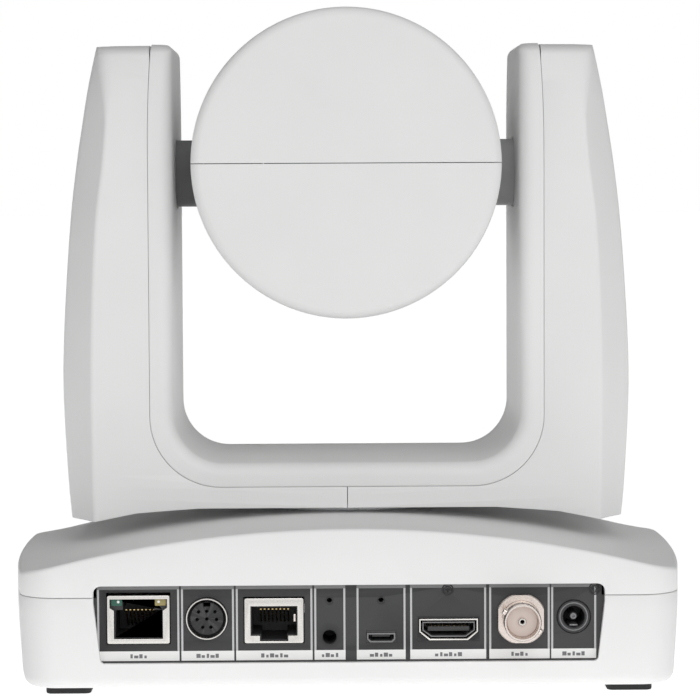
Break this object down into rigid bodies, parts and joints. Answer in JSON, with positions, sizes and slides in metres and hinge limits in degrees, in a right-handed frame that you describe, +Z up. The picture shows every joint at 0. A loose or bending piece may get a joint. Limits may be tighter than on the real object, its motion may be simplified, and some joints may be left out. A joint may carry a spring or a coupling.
{
  "type": "ptz camera",
  "caption": "Pan-tilt-zoom camera: a drum head tilts in a U-shaped yoke that turns on a low base with a rear connector panel.",
  "frame": {"origin": "on the pan axis, in the plane the feet stand on, which is the bottom centre of the whole object", "axes": "+Z up along the pan axis, the lens looks along -Y at rest, the connector panel faces +Y, +X runs along the tilt axis"},
  "size_m": [0.1792, 0.14, 0.1785],
  "materials": {
    "white_shell": "fine satin moulding",
    "rubber": "matte",
    "dark_panel": "fine texture",
    "nickel": "bright plating",
    "black_plastic": "satin",
    "circuit_board": "solder mask",
    "black_aluminium": "anodised",
    "sheet_steel": "zinc plated",
    "bearing_steel": "ground",
    "motor_steel": "plated can",
    "belt_rubber": "matte",
    "brass": "turned",
    "window_plastic": "polished, deep red",
    "light_pipe": "clear",
    "black_steel": "blackened",
    "turned_aluminium": "turned",
    "cable_jacket": "satin sleeve",
    "gloss_black": "polished",
    "front_glass": "coated",
    "lens_glass": "coated",
    "axle_grey": "satin"
  },
  "bodies": {
    "base": {"base_lower_shell": "white_shell", "base_upper_shell": "white_shell", "rubber_feet": "rubber", "rear_panel": "dark_panel", "network_jack": "nickel", "control_din_jack": "nickel", "modular_jack": "nickel", "audio_jack": "black_plastic", "service_micro_jack": "nickel", "digital_video_jack": "nickel", "coax_jack": "nickel", "dc_power_jack": "black_plastic", "main_board": "circuit_board", "processor_heatsink": "black_aluminium", "pan_chassis": "sheet_steel", "pan_bearing_outer": "bearing_steel", "pan_motor": "motor_steel", "pan_belt": "belt_rubber", "pan_home_sensor": "black_plastic", "tripod_insert": "brass", "infrared_window": "window_plastic", "status_light_pipe": "light_pipe", "base_screws": "bearing_steel", "board_screws": "bearing_steel", "panel_screws": "black_steel"},
    "pan_rotor": {"pan_motor_pulley": "brass"},
    "yoke": {"yoke_chassis": "sheet_steel", "yoke_inner_cover": "white_shell", "yoke_outer_cover_left": "white_shell", "yoke_outer_cover_right": "white_shell", "pan_hub": "turned_aluminium", "pan_bearing_inner": "bearing_steel", "pan_bearing_balls": "brass", "pan_pulley": "turned_aluminium", "tilt_motor": "motor_steel", "tilt_belt": "belt_rubber", "tilt_bearing_left": "bearing_steel", "tilt_bearing_right": "bearing_steel", "yoke_board": "circuit_board", "yoke_harness": "cable_jacket", "yoke_screws": "bearing_steel"},
    "tilt_rotor": {"tilt_motor_pulley": "brass"},
    "head": {"head_upper_shell": "white_shell", "head_lower_shell": "white_shell", "front_bezel": "gloss_black", "front_glass": "front_glass", "lens_body": "black_plastic", "front_lens": "lens_glass", "lens_guide_rods": "bearing_steel", "sensor_board": "circuit_board", "head_chassis": "sheet_steel", "tilt_axle_left": "axle_grey", "tilt_axle_right": "axle_grey", "tilt_pulley": "black_plastic", "head_screws": "bearing_steel"},
    "zoom_carriage": {"zoom_lens_group": "black_plastic"},
    "focus_carriage": {"focus_lens_group": "black_plastic"}
  },
  "joints": [
    {"name": "pan", "type": "hinge", "parent": "base", "child": "yoke", "pos_m": [0, 0, 0], "axis": [0, 0, 1], "range_deg": [-170, 170]},
    {"name": "tilt", "type": "hinge", "parent": "yoke", "child": "head", "pos_m": [0, 0, 0.1349], "axis": [-1, 0, 0], "range_deg": [-30, 90]},
    {"name": "pan_motor_spin", "type": "hinge", "parent": "base", "child": "pan_rotor", "pos_m": [-0.05, -0.028, 0.025], "axis": [0, 0, 1], "continuous": true},
    {"name": "tilt_motor_spin", "type": "hinge", "parent": "yoke", "child": "tilt_rotor", "pos_m": [0.06, 0, 0.092], "axis": [-1, 0, 0], "continuous": true},
    {"name": "zoom", "type": "slide", "parent": "head", "child": "zoom_carriage", "axis": [0, 1, 0], "range_m": [0, 0.014]},
    {"name": "focus", "type": "slide", "parent": "head", "child": "focus_carriage", "axis": [0, 1, 0], "range_m": [-0.005, 0.005]}
  ],
  "couplings": [
    {"joint": "pan_motor_spin", "follows": "pan", "ratio": 4},
    {"joint": "tilt_motor_spin", "follows": "tilt", "ratio": 4}
  ]
}
